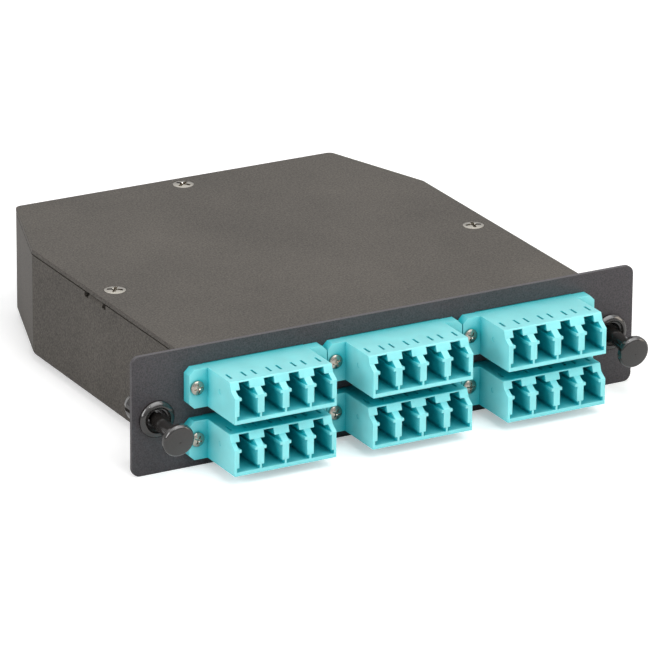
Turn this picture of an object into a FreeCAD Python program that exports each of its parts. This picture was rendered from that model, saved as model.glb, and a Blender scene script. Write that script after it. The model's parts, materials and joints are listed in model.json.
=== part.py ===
"""Fibre patching cassette: a folded steel box with a flat lid behind a front panel that carries
six four-port LC adapters in two rows. Two push-pull latches hold the panel to a frame, and two
multi-fibre adapters at the rear take the trunk cables. All sizes are in millimetres.

Frame: X to the right along the panel, Y to the rear, Z up. The origin lies on the back face of
the front panel, midway between the two latches.
"""

import FreeCAD, Part
import math
import os

Vector = FreeCAD.Vector

# ---- Front panel -------------------------------------------------------------------------
panel_sheet = 1.0
panel_end = 6.05             # from a latch's axis to the panel's end
panel_above = 1.05           # panel above the lid
panel_corner = 2.0
latch_height = 13.1          # latch axis above the panel's lower edge
latch_from_box = 6.5         # from the box's side to a latch's axis
latch_hole_radius = 3.3
cutout_clearance = 0.15      # round the adapter bodies
cutout_corner = 0.5
tapped_clearance = 0.05      # stands for the thread between a screw and its tapped hole
overrun = 1.0                # cutters run this far past what they cut
relief_overrun = 0.05        # and relief cuts past the sheet's inner face
seat_gap = 1.0               # from the box's side to the frame's flange
seat_edge = 0.3              # the sheet's edges are broken, so they don't bear on the frame
seat_depth = 0.2
frame_hole_play = 0.2        # round the latch in the frame's own hole

# ---- Folded box --------------------------------------------------------------------------
body_depth = 103.5
body_inset = 0.1             # box's side, in from the end of the outer adapters' ears
floor_gap = 0.65             # from the floor to the lower adapters
lid_gap = 2.3                # from the upper adapters to the lid
body_lift = 0.95             # floor's underside above the panel's lower edge
body_sheet = 1.0
corner_cut_width = 9.7       # slanted rear corners, across
corner_cut_depth = 28.8      # and along the sides
wall_bend = 2.2              # outer radius of the upright bends
floor_bend = 1.8             # outer radius of the bends along the floor

# ---- Lid and its tabs --------------------------------------------------------------------
lid_sheet = 1.0
lid_shadow_gap = 0.3         # between the walls' upper edges and the lid
lid_front_gap = 0.15
lid_corner = 1.8
lid_edge_round = 0.25
tab_width = 7.0
tab_reach = 8.8
tab_bend = 1.4
tab_relief = 1.8             # relief cut at each side of a tab
relief_depth = 1.15
tab_collar_radius = 2.4
tab_collar_length = 1.4
side_tab_y = 42.1
lid_screw_inset_side = 5.1   # from the wall's outer face to the screw
lid_screw_inset_rear = 4.3
weld_tab_height = 7.5
weld_tab_middle = 0.6
weld_tab_reach = 3.2
weld_tab_bend = 1.6
weld_tab_relief = 1.0
weld_tab_depth = 2.8

# ---- LC adapters -------------------------------------------------------------------------
flange_gap = 0.25            # between the ears of two adapters side by side
column_offset = 0.5          # the columns sit slightly right of the panel's middle
row_pitch = 12.3
adapter_above = 4.25         # body above its screw line
adapter_below = 5.0
adapter_wall = 0.3           # an adapter's side, out from its outer ports' share
ear_width = 4.55
flange_thick = 2.7
flange_chamfer = 1.25
ear_screw_inset = 1.85       # from the ear's end to its screw
ear_hole_radius = 1.15
front_reach = 15.7           # lower front face, ahead of the panel
back_reach = 12.4            # lower rear face, behind the panel's front face
shoulder_setback = 1.8       # shoulder edge behind the lower face
top_setback = 2.5            # upper edge behind the lower face
adapter_round = 0.3

# ---- LC port profile, heights from the screw line ----------------------------------------
ports_per_adapter = 4
port_pitch = 6.25
port_width = 4.6
foot_wall = 0.5              # between the feet of two ports
floor_height = -4.1
foot_top = -3.1
rail_low = 0.5
rail_high = 1.2
rail_proud = 0.55
shoulder_height = 2.4
latch_slot_width = 2.5
latch_slot_top = 3.9
window_offset = 1.85         # latch windows, each side of the port's middle
window_width = 0.55
window_near = 2.1            # behind the upper front edge
window_length = 2.8
eject_mark_radius = 0.6
eject_mark_depth = 0.12
eject_mark_reach = 8.6

# ---- Inside an adapter -------------------------------------------------------------------
ferrule_height = -1.8
holder_plate = 1.4           # plate that carries the sleeve holders, between the two shells
holder_margin = 0.6          # its edge, in from the shell's sides
holder_radius = 1.5
holder_half_length = 4.2
ferrule_radius = 0.625
sleeve_radius = 0.8
sleeve_half_length = 3.4
sleeve_slit = 0.25
sleeve_clearance = 0.05
lip_play = 0.075             # round a ferrule where it enters its holder

# ---- LC plugs on the inner side ----------------------------------------------------------
plug_play = 0.1              # beside a plug in its port
plug_clearance = 0.4         # from the sleeve holder to the plug's nose
plug_length = 14.8
ferrule_gap = 0.05           # from a ferrule's end face to the mating plane
plug_corner = 0.5
trigger_width = 2.0
trigger_thick = 0.7
trigger_top = 3.2
trigger_start = 3.0
trigger_length = 8.0
boot_length = 9.0
boot_front_radius = 1.9
boot_back_radius = 1.1

# ---- Inside harness: trunk plugs, fan-outs and fibres ------------------------------------
trunk_plug_play = 0.2        # round the plug in its port
trunk_plug_length = 19.0
trunk_plug_corner = 0.8
trunk_plug_nose = 0.05       # from the plug's nose to the adapter's middle wall
trunk_grip_width = 11.6
trunk_grip_height = 8.4
trunk_grip_start = 13.2      # behind the plug's nose
trunk_boot_length = 9.0
trunk_boot_front = 2.9
trunk_boot_back = 1.9
bundle_radius = 1.5
fanout_setback = 37.0        # from the rear wall to the fan-outs
fanout_length = 10.0
fanout_width = 9.6
fanout_height = 5.0
fanout_corner = 0.8
fibre_radius = 0.45
fibres_per_row = 6
fibre_pitch = 1.4
fibre_row_gap = 1.8
clip_wall = 1.0
clip_foot_width = 15.0
clip_web = 4.0
clip_depth = 6.0

# ---- Latches -----------------------------------------------------------------------------
grommet_flange_radius = 4.3
grommet_rim_height = 0.6
grommet_crest_radius = 3.1
grommet_crest_height = 1.3
grommet_dish_depth = 0.5
grommet_bulge = 0.12         # round of the flange's outer and inner slopes
grommet_lean_room = 0.75     # round the plunger's stem, which leans in the bore
grommet_neck_clearance = 0.15
grommet_snap = 0.1           # the barrel is wider than its hole in the panel
grommet_length = 10.0        # behind the panel's front face
grommet_tip_radius = 2.9
grommet_taper = 1.5
grommet_slot = 0.8
grommet_slot_start = 5.4
plunger_droop = 6.5          # degrees that the pulled-out plunger leans down in its grommet
plunger_pivot = 0.5          # the two axes cross this far behind the panel's back face
stem_radius = 1.7
stem_back = 1.5              # rear end of the thick stem, ahead of the crossing
knob_back = 11.0             # rear face of the knob, ahead of the crossing
knob_radius = 3.82
knob_thick = 2.1
knob_dome = 0.25
knob_round = 0.8
tail_radius = 1.15
tail_length = 6.0
bead_radius = 1.3
bead_length = 1.2
bead_chamfer = 0.4

# ---- Rear multi-fibre adapters -----------------------------------------------------------
trunk_spacing = 40.0
trunk_height = 13.8          # above the panel's lower edge
trunk_side_wall = 1.45
trunk_top_wall = 1.2
trunk_edge = 0.6
trunk_screw_gap = 2.55       # from the adapter's side to its screws
trunk_ear = 2.0              # and from the screws to the flange's ends
trunk_flange_thick = 1.8
trunk_flange_chamfer = 1.2
trunk_hole_radius = 1.15
trunk_out = 12.5
trunk_in = 13.0
trunk_port_width = 10.0
trunk_port_height = 6.9
trunk_key_width = 3.0
trunk_key_height = 0.8
trunk_wall = 2.0
trunk_window_width = 7.3
trunk_window_height = 3.2

# ---- Screws and nuts ---------------------------------------------------------------------
lid_head_radius = 2.7
lid_head_depth = 0.9
lid_shank_radius = 1.45
lid_screw_length = 5.0
lid_head_drop = 0.08         # head below the lid's upper face
lid_hole_clearance = 0.05
small_head_radius = 1.65
small_head_height = 1.0
small_crown = 0.45
small_shank_radius = 0.95
small_tip_gap = 0.1          # screw tip short of the panel's back face
recess_share = 0.6           # cross recess, share of the head's radius
recess_width = 0.5
recess_depth = 0.6
nut_across_flats = 4.0
nut_height = 1.6
nut_screw_stick = 0.6        # screw past its nut

# ---- Sizes and places worked out from those above ----------------------------------------
adapter_width = ports_per_adapter * port_pitch + 2 * adapter_wall
flange_width = adapter_width + 2 * ear_width
foot_width = port_pitch - foot_wall
ear_screw_offset = flange_width / 2 - ear_screw_inset
column_pitch = flange_width + flange_gap
body_width = 2 * column_pitch + flange_width - 2 * body_inset
latch_spacing = body_width + 2 * latch_from_box
panel_width = latch_spacing + 2 * panel_end
lower_row = body_lift + body_sheet + floor_gap + adapter_below
row_heights = (lower_row + row_pitch, lower_row)    # screw lines above the panel's lower edge
body_height = row_heights[0] + adapter_above + lid_gap + lid_sheet - body_lift
panel_height = body_lift + body_height + panel_above
fanout_rear = body_depth - fanout_setback
plug_size = port_width - 2 * plug_play
lip_radius = ferrule_radius + lip_play
grommet_bore_radius = stem_radius + grommet_lean_room
grommet_radius = latch_hole_radius + grommet_snap
frame_hole_radius = grommet_radius + frame_hole_play
trunk_width = trunk_port_width + 2 * trunk_side_wall
trunk_tall = trunk_port_height + 2 * trunk_top_wall
trunk_screw_spacing = trunk_width + 2 * trunk_screw_gap
trunk_flange_width = trunk_screw_spacing + 2 * trunk_ear
trunk_plug_width = trunk_port_width - 2 * trunk_plug_play
trunk_plug_height = trunk_port_height - 2 * trunk_plug_play
panel_bottom = -latch_height
panel_front = -panel_sheet
floor_under = panel_bottom + body_lift
floor_top = floor_under + body_sheet
lid_top = floor_under + body_height
lid_under = lid_top - lid_sheet
wall_top = lid_under - lid_shadow_gap
half_body = body_width / 2
columns = [column_offset + column_pitch * step for step in (-1, 0, 1)]
rows = [panel_bottom + height for height in row_heights]
mating_y = panel_front + (back_reach - front_reach) / 2
shell_joint = mating_y + holder_plate / 2
port_centres = [port_pitch * (index - (ports_per_adapter - 1) / 2) for index in range(ports_per_adapter)]
tab_relief_bottom = wall_top - relief_depth
column_names = ("left", "middle", "right")
row_names = ("upper", "lower")


# ---- Small helpers -----------------------------------------------------------------------
def prism_along_y(points, start, end):
    """Solid with an (x, z) outline, from y = start to y = end."""
    corners = [Vector(x, start, z) for x, z in points]
    face = Part.Face(Part.makePolygon(corners + corners[:1]))
    return face.extrude(Vector(0, end - start, 0))


def prism_along_x(points, start, end):
    """Solid with a (y, z) outline, from x = start to x = end."""
    corners = [Vector(start, y, z) for y, z in points]
    face = Part.Face(Part.makePolygon(corners + corners[:1]))
    return face.extrude(Vector(end - start, 0, 0))


def box_between(low, high):
    size = [high[axis] - low[axis] for axis in range(3)]
    return Part.makeBox(size[0], size[1], size[2], Vector(*low))


def rod_y(x, z, radius, start, end):
    return Part.makeCylinder(radius, end - start, Vector(x, start, z), Vector(0, 1, 0))


def rod_z(x, y, radius, start, end):
    return Part.makeCylinder(radius, end - start, Vector(x, y, start), Vector(0, 0, 1))


def edges_along(shape, direction, accept):
    """Straight edges parallel to direction whose middle point is accepted."""
    chosen = []
    for edge in shape.Edges:
        if not isinstance(edge.Curve, Part.Line):
            continue
        if abs(abs(edge.tangentAt(edge.FirstParameter).dot(direction)) - 1) > 1e-6:
            continue
        if accept(edge.CenterOfMass):
            chosen.append(edge)
    return chosen


def rounded_plate(x_low, x_high, z_low, z_high, y_start, y_end, corner):
    """Plate across Y with round corners."""
    plate = box_between((x_low, y_start, z_low), (x_high, y_end, z_high))
    return plate.makeFillet(corner, edges_along(plate, Vector(0, 1, 0), lambda point: True))


def chamfered_outline(width, low, high, chamfer):
    half = width / 2
    return [(-half + chamfer, low), (half - chamfer, low), (half, low + chamfer),
            (half, high - chamfer), (half - chamfer, high), (-half + chamfer, high),
            (-half, high - chamfer), (-half, low + chamfer)]


def revolve_about_y(edges):
    """Turn a closed (radius, y) profile, drawn in the XY plane, about the Y axis."""
    face = Part.Face(Part.Wire(edges))
    return face.revolve(Vector(0, 0, 0), Vector(0, 1, 0), 360)


def dome_middle(rim_radius, height):
    """Radius and height halfway along the profile of a shallow round dome."""
    sphere = (rim_radius ** 2 + height ** 2) / (2 * height)
    half_angle = math.asin(rim_radius / sphere) / 2
    return sphere * math.sin(half_angle), height - sphere * (1 - math.cos(half_angle))


def profile_edges(points):
    """Edges through (radius, y) points; a three-item entry (radius, y, 'arc') is an arc's middle."""
    edges = []
    place = Vector(points[0][0], points[0][1], 0)
    middle = None
    for point in points[1:] + points[:1]:
        here = Vector(point[0], point[1], 0)
        if len(point) == 3:
            middle = here
            continue
        if middle is None:
            edges.append(Part.makeLine(place, here))
        else:
            edges.append(Part.Arc(place, middle, here).toShape())
        place = here
        middle = None
    return edges


def cross_recess(radius, depth):
    """Cross-shaped cutter of a screw's drive, centred on Z, with its floor at z = -depth."""
    reach = radius * recess_share
    half = recess_width / 2
    bar = box_between((-reach, -half, -depth), (reach, half, depth))
    return bar.fuse(bar.rotated(Vector(0, 0, 0), Vector(0, 0, 1), 90))


# ---- Sheet metal -------------------------------------------------------------------------
def body_outline(front, inset):
    """Plan of the box as a face at z = 0, set in by inset on every side but the front."""
    side_y = body_depth - corner_cut_depth
    rear_x = half_body - corner_cut_width
    corners = [(-half_body, front), (half_body, front), (half_body, side_y),
               (rear_x, body_depth), (-rear_x, body_depth), (-half_body, side_y)]
    points = [Vector(x, y, 0) for x, y in corners]
    outline = Part.makePolygon(points + points[:1])
    if inset:
        outline = outline.makeOffset2D(-inset)
    return Part.Face(outline)


def rounded_box(front, inset, bottom, top, upright_round, lower_round):
    """Solid over the plan, with its upright rear edges and its lower edges rounded."""
    solid = body_outline(front, inset).extrude(Vector(0, 0, top - bottom))
    solid.translate(Vector(0, 0, bottom))
    behind = body_depth / 2
    solid = solid.makeFillet(upright_round, edges_along(solid, Vector(0, 0, 1), lambda p: p.y > behind))
    front_y = solid.BoundBox.YMin
    near_front = front_y + body_sheet / 2
    lower = [edge for edge in solid.Edges
             if edge.BoundBox.ZMax < bottom + body_sheet / 2 and edge.CenterOfMass.y > near_front]
    return solid.makeFillet(lower_round, lower)


def folded_strip(width, rise, reach, bend, sheet):
    """Strip that rises along Y and folds inward along X; its width is centred on Z."""
    outer_mid = bend * (1 - math.sqrt(0.5))
    inner = bend - sheet
    inner_mid = bend - inner * math.sqrt(0.5)
    half = -width / 2
    line = Part.makeLine
    edges = [
        line(Vector(0, 0, half), Vector(0, rise - bend, half)),
        Part.Arc(Vector(0, rise - bend, half), Vector(outer_mid, rise - outer_mid, half),
                 Vector(bend, rise, half)).toShape(),
        line(Vector(bend, rise, half), Vector(reach, rise, half)),
        line(Vector(reach, rise, half), Vector(reach, rise - sheet, half)),
        line(Vector(reach, rise - sheet, half), Vector(bend, rise - sheet, half)),
        Part.Arc(Vector(bend, rise - sheet, half), Vector(inner_mid, rise - inner_mid, half),
                 Vector(sheet, rise - bend, half)).toShape(),
        line(Vector(sheet, rise - bend, half), Vector(sheet, 0, half)),
        line(Vector(sheet, 0, half), Vector(0, 0, half)),
    ]
    return Part.Face(Part.Wire(edges)).extrude(Vector(0, 0, width))


def placed(shape, inward, rising, origin):
    """Shape with its X along inward, its Y along rising and its origin at origin."""
    across = inward.cross(rising)
    matrix = FreeCAD.Matrix(inward.x, rising.x, across.x, origin.x,
                            inward.y, rising.y, across.y, origin.y,
                            inward.z, rising.z, across.z, origin.z,
                            0, 0, 0, 1)
    moved = shape.copy()
    moved.Placement = FreeCAD.Placement(matrix)
    return moved


def mirrored_pair(shape):
    """The shape and its mirror image across the middle plane."""
    return [shape, shape.mirror(Vector(0, 0, 0), Vector(1, 0, 0))]


def lid_screw_places():
    side_x = half_body - lid_screw_inset_side
    return [(-side_x, side_tab_y), (side_x, side_tab_y), (0, body_depth - lid_screw_inset_rear)]


def lid_tabs():
    """The three tabs under the lid, folded inward from the upper edges of the walls."""
    rise = lid_under - tab_relief_bottom
    strip = folded_strip(tab_width, rise, tab_reach, tab_bend, body_sheet)
    up = Vector(0, 0, 1)
    side = placed(strip, Vector(1, 0, 0), up, Vector(-half_body, side_tab_y, tab_relief_bottom))
    rear = placed(strip, Vector(0, -1, 0), up, Vector(0, body_depth, tab_relief_bottom))
    tabs = mirrored_pair(side) + [rear]
    finished = []
    for tab, (x, y) in zip(tabs, lid_screw_places()):
        collar = rod_z(x, y, tab_collar_radius, lid_under - body_sheet - tab_collar_length, lid_under - body_sheet)
        hole = rod_z(x, y, lid_shank_radius + tapped_clearance, tab_relief_bottom - body_height, lid_top)
        finished.append(tab.fuse(collar).cut(hole))
    return finished


def tab_reliefs():
    """Cutters that open the walls' upper edges round each tab."""
    half = tab_width / 2 + tab_relief
    deep = body_sheet + relief_overrun
    side = box_between((-half_body - deep, side_tab_y - half, tab_relief_bottom),
                       (-half_body + deep, side_tab_y + half, lid_top))
    rear = box_between((-half, body_depth - deep, tab_relief_bottom), (half, body_depth + deep, lid_top))
    return mirrored_pair(side) + [rear]


def weld_tab_notches():
    """Cutters that open the side walls' front edges round each weld tab."""
    half = weld_tab_height / 2 + weld_tab_relief
    deep = body_sheet + relief_overrun
    notch = box_between((-half_body - deep, -overrun, weld_tab_middle - half),
                        (-half_body + deep, weld_tab_depth, weld_tab_middle + half))
    return mirrored_pair(notch)


def weld_tabs():
    """Tabs folded inward against the panel's back, one from each side wall."""
    strip = folded_strip(weld_tab_height, weld_tab_depth, weld_tab_reach, weld_tab_bend, body_sheet)
    start = Vector(-half_body, weld_tab_depth, weld_tab_middle)
    return mirrored_pair(placed(strip, Vector(1, 0, 0), Vector(0, -1, 0), start))


def make_housing():
    outer = rounded_box(0, 0, floor_under, wall_top, wall_bend, floor_bend)
    ahead = -3 * overrun
    inner = rounded_box(ahead, body_sheet, floor_top, lid_top, wall_bend - body_sheet, floor_bend - body_sheet)
    tray = outer.cut(inner)
    for cutter in tab_reliefs():
        tray = tray.cut(cutter)
    for tab in lid_tabs():
        tray = tray.fuse(tab)
    for cutter, tab in zip(weld_tab_notches(), weld_tabs()):
        tray = tray.cut(cutter).fuse(tab)
    for x in (-trunk_spacing / 2, trunk_spacing / 2):
        tray = tray.cut(trunk_cutout(x))
    return tray.removeSplitter()


def trunk_cutout(x):
    """Rear wall opening and screw holes for one multi-fibre adapter."""
    z = panel_bottom + trunk_height
    half_width = trunk_width / 2 + cutout_clearance
    half_tall = trunk_tall / 2 + cutout_clearance
    start = body_depth - body_sheet - overrun
    end = body_depth + overrun
    cutter = rounded_plate(x - half_width, x + half_width, z - half_tall, z + half_tall, start, end, cutout_corner)
    for side in (-1, 1):
        hole_x = x + side * trunk_screw_spacing / 2
        cutter = cutter.fuse(rod_y(hole_x, z, trunk_hole_radius, start, end))
    return cutter


def make_lid():
    plate = body_outline(lid_front_gap, 0).extrude(Vector(0, 0, lid_sheet))
    plate.translate(Vector(0, 0, lid_under))
    behind = body_depth / 2
    plate = plate.makeFillet(lid_corner, edges_along(plate, Vector(0, 0, 1), lambda p: p.y > behind))
    rim = [edge for edge in plate.Edges if edge.BoundBox.ZMin > lid_top - lid_edge_round]
    plate = plate.makeFillet(lid_edge_round, rim)
    slope = (lid_head_radius - lid_shank_radius) / lid_head_depth
    top_radius = lid_head_radius + lid_head_drop * slope
    sink_depth = lid_head_depth + lid_head_drop
    for x, y in lid_screw_places():
        sink = Part.makeCone(lid_shank_radius, top_radius, sink_depth, Vector(x, y, lid_top - sink_depth))
        hole = rod_z(x, y, lid_shank_radius + lid_hole_clearance, lid_under - lid_sheet, lid_top)
        plate = plate.cut(sink).cut(hole)
    return plate


def frame_seats():
    """Ends of the panel's back that bear on the frame; fused in, they stay faces of their own."""
    inner = half_body + seat_gap
    outer = panel_width / 2 - seat_edge
    low = panel_bottom + seat_edge
    high = panel_bottom + panel_height - seat_edge
    seat = rounded_plate(inner, outer, low, high, -seat_depth, 0, panel_corner - seat_edge)
    return mirrored_pair(seat.cut(rod_y(latch_spacing / 2, 0, frame_hole_radius, panel_front, overrun)))


def make_panel():
    half = panel_width / 2
    top = panel_bottom + panel_height
    panel = rounded_plate(-half, half, panel_bottom, top, panel_front, 0, panel_corner)
    half_cut = adapter_width / 2 + cutout_clearance
    through = panel_front - overrun
    for x in columns:
        for z in rows:
            low = z - adapter_below - cutout_clearance
            high = z + adapter_above + cutout_clearance
            panel = panel.cut(rounded_plate(x - half_cut, x + half_cut, low, high,
                                            through, overrun, cutout_corner))
            for side in (-1, 1):
                hole = rod_y(x + side * ear_screw_offset, z, small_shank_radius + tapped_clearance,
                             through, overrun)
                panel = panel.cut(hole)
    for x in (-latch_spacing / 2, latch_spacing / 2):
        panel = panel.cut(rod_y(x, 0, latch_hole_radius, through, overrun))
    for seat in frame_seats():
        panel = panel.fuse(seat)
    return panel


# ---- LC adapter --------------------------------------------------------------------------
def port_outline():
    """Half profile of a port from its floor up, then its mirror image."""
    right = [(foot_width / 2, floor_height), (foot_width / 2, foot_top), (port_width / 2, foot_top),
             (port_width / 2, rail_low), (port_width / 2 - rail_proud, rail_low),
             (port_width / 2 - rail_proud, rail_high), (port_width / 2, rail_high),
             (port_width / 2, shoulder_height), (latch_slot_width / 2, shoulder_height),
             (latch_slot_width / 2, latch_slot_top)]
    return right + [(-x, z) for x, z in reversed(right)]


def adapter_side(front, back):
    """Side outline of a shell between two Y places, stepped back towards each open end."""
    outline = [(front, -adapter_below)]
    if front < mating_y - holder_half_length:
        outline += [(front, rail_high), (front + shoulder_setback, shoulder_height),
                    (front + top_setback, adapter_above)]
    else:
        outline.append((front, adapter_above))
    if back > mating_y + holder_half_length:
        outline += [(back - top_setback, adapter_above), (back - shoulder_setback, shoulder_height),
                    (back, rail_high)]
    else:
        outline.append((back, adapter_above))
    return outline + [(back, -adapter_below)]


def adapter_shell(front, back):
    """Shell between two Y places, with its four ports and its latch windows cut."""
    shell = prism_along_x(adapter_side(front, back), -adapter_width / 2, adapter_width / 2)
    near_plate = holder_half_length
    soft = edges_along(shell, Vector(1, 0, 0),
                       lambda p: p.z > shoulder_height and abs(p.y - mating_y) > near_plate)
    return shell.makeFillet(adapter_round, soft)


def cut_ports(shell, front, back, window_start):
    """Cut the ports right through a shell, and the windows over each one's latch."""
    for x in port_centres:
        outline = [(x + across, height) for across, height in port_outline()]
        shell = shell.cut(prism_along_y(outline, front - overrun, back + overrun))
        for side in (-1, 1):
            low_x = x + side * window_offset - window_width / 2
            window = box_between((low_x, window_start, rail_high),
                                 (low_x + window_width, window_start + window_length, adapter_above + window_width))
            shell = shell.cut(window)
    return shell


def make_adapter():
    """Front shell of a four-port adapter, with the ears; screw line at z = 0, middle at x = 0."""
    front = panel_front - front_reach
    shell = adapter_shell(front, shell_joint)
    outline = chamfered_outline(flange_width, -adapter_below, adapter_above, flange_chamfer)
    flange = prism_along_y(outline, panel_front - flange_thick, panel_front)
    behind = box_between((-adapter_width / 2, shell_joint, -flange_width), (adapter_width / 2, 0, flange_width))
    adapter = shell.fuse(flange.cut(behind))
    adapter = cut_ports(adapter, front, shell_joint, front + top_setback + window_near)
    adapter = adapter.cut(holder_plate_block())
    for side in (-1, 1):
        hole = rod_y(side * ear_screw_offset, 0, ear_hole_radius, panel_front - flange_thick, panel_front)
        adapter = adapter.cut(hole)
    mark = Part.makeCylinder(eject_mark_radius, eject_mark_depth,
                             Vector(-adapter_width / 2, panel_front - eject_mark_reach, rail_low), Vector(1, 0, 0))
    return adapter.cut(mark).removeSplitter()


def make_adapter_back():
    """Rear shell, welded to the front one behind the sleeve holders."""
    back = panel_front + back_reach
    shell = adapter_shell(shell_joint, back)
    return cut_ports(shell, shell_joint, back, back - top_setback - window_near - window_length)


def holder_plate_block():
    half = adapter_width / 2 - holder_margin
    return box_between((-half, shell_joint - holder_plate, floor_height),
                       (half, shell_joint, adapter_above - holder_margin))


def make_holders():
    """Plate with four tubes that hold the split sleeves; it sits in the front shell's pocket."""
    holders = holder_plate_block()
    start = mating_y - holder_half_length
    end = mating_y + holder_half_length
    seat_half = sleeve_half_length + sleeve_clearance
    for x in port_centres:
        holders = holders.fuse(rod_y(x, ferrule_height, holder_radius, start, end))
    for x in port_centres:
        lips = rod_y(x, ferrule_height, lip_radius, start, end)
        seat = rod_y(x, ferrule_height, sleeve_radius + sleeve_clearance, mating_y - seat_half, mating_y + seat_half)
        holders = holders.cut(lips).cut(seat)
    return holders


def make_sleeve(x):
    """Split ceramic sleeve that lines up two ferrules."""
    start = mating_y - sleeve_half_length
    end = mating_y + sleeve_half_length
    tube = rod_y(x, ferrule_height, sleeve_radius, start, end)
    tube = tube.cut(rod_y(x, ferrule_height, ferrule_radius, start, end))
    slit = box_between((x - sleeve_slit / 2, start, ferrule_height),
                       (x + sleeve_slit / 2, end, ferrule_height + sleeve_radius * 2))
    return tube.cut(slit)


def make_inner_plug(x):
    """LC plug in a port's rear half: ferrule, housing, latch and boot."""
    nose = mating_y + holder_half_length + plug_clearance
    rear = nose + plug_length
    half = plug_size / 2
    low = ferrule_height - half
    high = ferrule_height + half
    housing = rounded_plate(x - half, x + half, low, high, nose, rear, plug_corner)
    ferrule = rod_y(x, ferrule_height, ferrule_radius, mating_y + ferrule_gap, nose)
    latch_y = nose + trigger_start
    latch_end = latch_y + trigger_length
    latch = prism_along_x([(nose, high), (latch_y, trigger_top), (latch_end, trigger_top),
                           (latch_end, trigger_top - trigger_thick),
                           (latch_y, trigger_top - trigger_thick), (nose + trigger_thick, high - trigger_thick)],
                          x - trigger_width / 2, x + trigger_width / 2)
    boot = Part.makeCone(boot_front_radius, boot_back_radius, boot_length,
                         Vector(x, rear, ferrule_height), Vector(0, 1, 0))
    return housing.fuse([ferrule, latch, boot])


# ---- Latches -----------------------------------------------------------------------------
def make_grommet():
    """Split grommet on the Y axis: a dished flange before the panel, four legs behind it."""
    neck = latch_hole_radius - grommet_neck_clearance
    behind = panel_sheet + grommet_neck_clearance
    crest_out = (grommet_flange_radius + grommet_crest_radius) / 2 + grommet_bulge
    crest_up = (grommet_rim_height + grommet_crest_height) / 2 + grommet_bulge
    dish_radius = (grommet_bore_radius + grommet_crest_radius) / 2
    dish_height = grommet_crest_height - grommet_dish_depth / 2 - grommet_bulge
    points = [(neck, 0), (grommet_flange_radius, 0), (grommet_flange_radius, grommet_rim_height),
              (crest_out, crest_up, "arc"), (grommet_crest_radius, grommet_crest_height),
              (dish_radius, dish_height, "arc"),
              (grommet_bore_radius, grommet_crest_height - grommet_dish_depth),
              (grommet_bore_radius, -grommet_length), (grommet_tip_radius, -grommet_length),
              (grommet_radius, grommet_taper - grommet_length), (grommet_radius, -behind), (neck, -behind)]
    flipped = [(point[0], panel_front - point[1]) + tuple(point[2:]) for point in points]
    grommet = revolve_about_y(profile_edges(flipped))
    half = grommet_slot / 2
    start = panel_front + grommet_slot_start
    end = panel_front + grommet_length
    slot = box_between((-grommet_radius, start, -half), (grommet_radius, end, half))
    crossed = slot.rotated(Vector(0, 0, 0), Vector(0, 1, 0), 90)
    return grommet.cut(slot).cut(crossed)


def make_plunger():
    """Pulled-out plunger, leaning down about the point where its axis crosses the grommet's."""
    knob_front = knob_back + knob_thick
    knob_middle = knob_back + knob_thick / 2
    corner = knob_round * (1 - math.sqrt(0.5))
    dome_radius, dome_height = dome_middle(knob_radius - knob_round, knob_dome)
    tail_end = -tail_length
    bead_start = tail_end + bead_length
    points = [(0, tail_end), (bead_radius - bead_chamfer, tail_end), (bead_radius, tail_end + bead_chamfer),
              (bead_radius, bead_start - bead_chamfer), (tail_radius, bead_start), (tail_radius, stem_back),
              (stem_radius, stem_back), (stem_radius, knob_back), (knob_radius - knob_round, knob_back),
              (knob_radius - corner, knob_back + corner, "arc"), (knob_radius, knob_back + knob_round),
              (knob_radius, knob_middle + (knob_middle - knob_back - knob_round)),
              (knob_radius - corner, knob_front - corner, "arc"), (knob_radius - knob_round, knob_front),
              (dome_radius, knob_front + dome_height, "arc"), (0, knob_front + knob_dome)]
    flipped = [(point[0], -point[1]) + tuple(point[2:]) for point in points]
    plunger = revolve_about_y(profile_edges(flipped))
    plunger.rotate(Vector(0, 0, 0), Vector(1, 0, 0), plunger_droop)
    plunger.translate(Vector(0, plunger_pivot, 0))
    return plunger


# ---- Rear adapters -----------------------------------------------------------------------
def trunk_wall_start():
    """Inner face of the wall between a rear adapter's two ports."""
    return body_depth + (trunk_out - trunk_in - trunk_wall) / 2


def make_trunk_adapter(x):
    """Multi-fibre adapter on the rear wall, open at both ends."""
    z = panel_bottom + trunk_height
    front = body_depth - trunk_in
    back = body_depth + trunk_out
    half_width = trunk_width / 2
    half_tall = trunk_tall / 2
    body = rounded_plate(x - half_width, x + half_width, z - half_tall, z + half_tall, front, back, trunk_edge)
    outline = chamfered_outline(trunk_flange_width, z - half_tall, z + half_tall, trunk_flange_chamfer)
    outline = [(x + across, height) for across, height in outline]
    body = body.fuse(prism_along_y(outline, body_depth, body_depth + trunk_flange_thick))
    key_half = trunk_key_width / 2
    port_half = trunk_port_width / 2
    port_top = z + trunk_port_height / 2
    port_low = z - trunk_port_height / 2
    port = [(x - port_half, port_low), (x + port_half, port_low), (x + port_half, port_top),
            (x + key_half, port_top), (x + key_half, port_top + trunk_key_height),
            (x - key_half, port_top + trunk_key_height), (x - key_half, port_top), (x - port_half, port_top)]
    wall_start = trunk_wall_start()
    body = body.cut(prism_along_y(port, front - overrun, wall_start))
    body = body.cut(prism_along_y(port, wall_start + trunk_wall, back + overrun))
    window = box_between((x - trunk_window_width / 2, wall_start, z - trunk_window_height / 2),
                         (x + trunk_window_width / 2, wall_start + trunk_wall, z + trunk_window_height / 2))
    body = body.cut(window)
    for side in (-1, 1):
        hole = rod_y(x + side * trunk_screw_spacing / 2, z, trunk_hole_radius,
                     body_depth, body_depth + trunk_flange_thick)
        body = body.cut(hole)
    return body


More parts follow.
